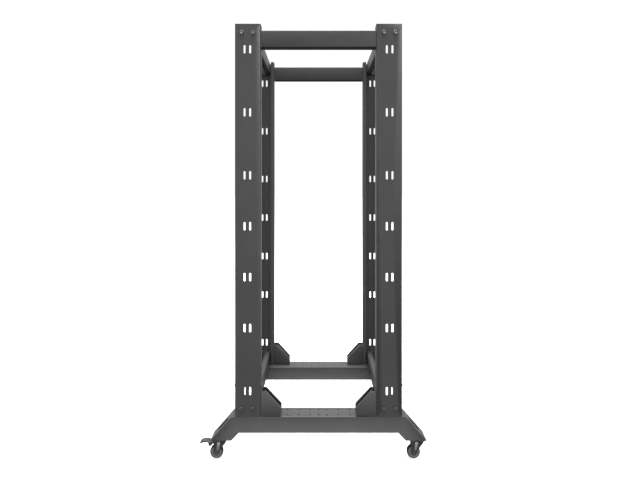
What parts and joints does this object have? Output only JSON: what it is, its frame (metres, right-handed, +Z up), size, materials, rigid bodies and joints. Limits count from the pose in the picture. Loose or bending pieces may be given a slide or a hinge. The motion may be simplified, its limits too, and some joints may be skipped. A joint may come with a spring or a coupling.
{
  "type": "open-frame server rack",
  "caption": "Open-frame floor rack for 19-inch equipment: channel posts, cross bars, base beams with sloped slotted feet, and swivel casters with brake pedals.",
  "frame": {"origin": "on the floor, midway between the four casters' swivel axes", "axes": "+X from the front posts to the rear posts, +Y across the rack to its left side, +Z up"},
  "size_m": [0.845, 0.5438, 1.6164],
  "materials": {
    "frame_paint": "fine-textured dark grey powder coat",
    "zinc_fasteners": "bright zinc plate",
    "caster_steel": "dull zinc-plated pressed steel",
    "wheel_plastic": "moulded",
    "tyre_rubber": "dull",
    "pedal_plastic": "moulded, fine grain"
  },
  "bodies": {
    "frame": {"right_base_beam": "frame_paint", "left_base_beam": "frame_paint", "right_side_bar": "frame_paint", "left_side_bar": "frame_paint", "front_bottom_cross_bar": "frame_paint", "front_top_cross_bar": "frame_paint", "rear_bottom_cross_bar": "frame_paint", "rear_top_cross_bar": "frame_paint", "front_right_post": "frame_paint", "front_right_gusset": "frame_paint", "front_right_caster_plate": "caster_steel", "rear_right_post": "frame_paint", "rear_right_gusset": "frame_paint", "rear_right_caster_plate": "caster_steel", "front_left_post": "frame_paint", "front_left_gusset": "frame_paint", "front_left_caster_plate": "caster_steel", "rear_left_post": "frame_paint", "rear_left_gusset": "frame_paint", "rear_left_caster_plate": "caster_steel", "cross_bar_bolts": "zinc_fasteners", "cross_bar_washers": "zinc_fasteners", "side_bar_bolts": "zinc_fasteners", "gusset_bolts": "zinc_fasteners", "gusset_nuts": "zinc_fasteners", "seat_bolts": "zinc_fasteners", "seat_nuts": "zinc_fasteners", "caster_plate_bolts": "zinc_fasteners", "caster_plate_nuts": "zinc_fasteners", "caster_kingpins": "zinc_fasteners", "caster_balls": "zinc_fasteners"},
    "front_right_swivel": {"front_right_caster_fork": "caster_steel", "front_right_axle_bolt": "zinc_fasteners", "front_right_axle_nut": "zinc_fasteners", "front_right_pedal_pin": "zinc_fasteners"},
    "front_right_wheel": {"front_right_wheel_hub": "wheel_plastic", "front_right_tyre": "tyre_rubber"},
    "front_right_pedal": {"front_right_brake_pedal": "pedal_plastic"},
    "rear_right_swivel": {"rear_right_caster_fork": "caster_steel", "rear_right_axle_bolt": "zinc_fasteners", "rear_right_axle_nut": "zinc_fasteners"},
    "rear_right_wheel": {"rear_right_wheel_hub": "wheel_plastic", "rear_right_tyre": "tyre_rubber"},
    "front_left_swivel": {"front_left_caster_fork": "caster_steel", "front_left_axle_bolt": "zinc_fasteners", "front_left_axle_nut": "zinc_fasteners", "front_left_pedal_pin": "zinc_fasteners"},
    "front_left_wheel": {"front_left_wheel_hub": "wheel_plastic", "front_left_tyre": "tyre_rubber"},
    "front_left_pedal": {"front_left_brake_pedal": "pedal_plastic"},
    "rear_left_swivel": {"rear_left_caster_fork": "caster_steel", "rear_left_axle_bolt": "zinc_fasteners", "rear_left_axle_nut": "zinc_fasteners"},
    "rear_left_wheel": {"rear_left_wheel_hub": "wheel_plastic", "rear_left_tyre": "tyre_rubber"}
  },
  "joints": [
    {"name": "front_right_caster_swivel", "type": "hinge", "parent": "frame", "child": "front_right_swivel", "pos_m": [-0.36896, -0.23, 0.07], "axis": [0, 0, 1], "continuous": true},
    {"name": "front_right_wheel_spin", "type": "hinge", "parent": "front_right_swivel", "child": "front_right_wheel", "pos_m": [-0.38196, -0.23, 0.025], "axis": [0, 1, 0], "continuous": true},
    {"name": "front_right_brake_press", "type": "hinge", "parent": "front_right_swivel", "child": "front_right_pedal", "pos_m": [-0.37896, -0.23, 0.061], "axis": [0, -1, 0], "range_deg": [0, 9]},
    {"name": "rear_right_caster_swivel", "type": "hinge", "parent": "frame", "child": "rear_right_swivel", "pos_m": [0.36896, -0.23, 0.07], "axis": [0, 0, 1], "continuous": true},
    {"name": "rear_right_wheel_spin", "type": "hinge", "parent": "rear_right_swivel", "child": "rear_right_wheel", "pos_m": [0.35596, -0.23, 0.025], "axis": [0, 1, 0], "continuous": true},
    {"name": "front_left_caster_swivel", "type": "hinge", "parent": "frame", "child": "front_left_swivel", "pos_m": [-0.36896, 0.23, 0.07], "axis": [0, 0, 1], "continuous": true},
    {"name": "front_left_wheel_spin", "type": "hinge", "parent": "front_left_swivel", "child": "front_left_wheel", "pos_m": [-0.3685, 0.21701, 0.025], "axis": [-0.9994, -0.0349, 0], "continuous": true},
    {"name": "front_left_brake_press", "type": "hinge", "parent": "front_left_swivel", "child": "front_left_pedal", "pos_m": [-0.36861, 0.22001, 0.061], "axis": [0.9994, 0.0349, 0], "range_deg": [0, 9]},
    {"name": "rear_left_caster_swivel", "type": "hinge", "parent": "frame", "child": "rear_left_swivel", "pos_m": [0.36896, 0.23, 0.07], "axis": [0, 0, 1], "continuous": true},
    {"name": "rear_left_wheel_spin", "type": "hinge", "parent": "rear_left_swivel", "child": "rear_left_wheel", "pos_m": [0.36827, 0.21702, 0.025], "axis": [-0.9986, 0.0523, 0], "continuous": true}
  ]
}
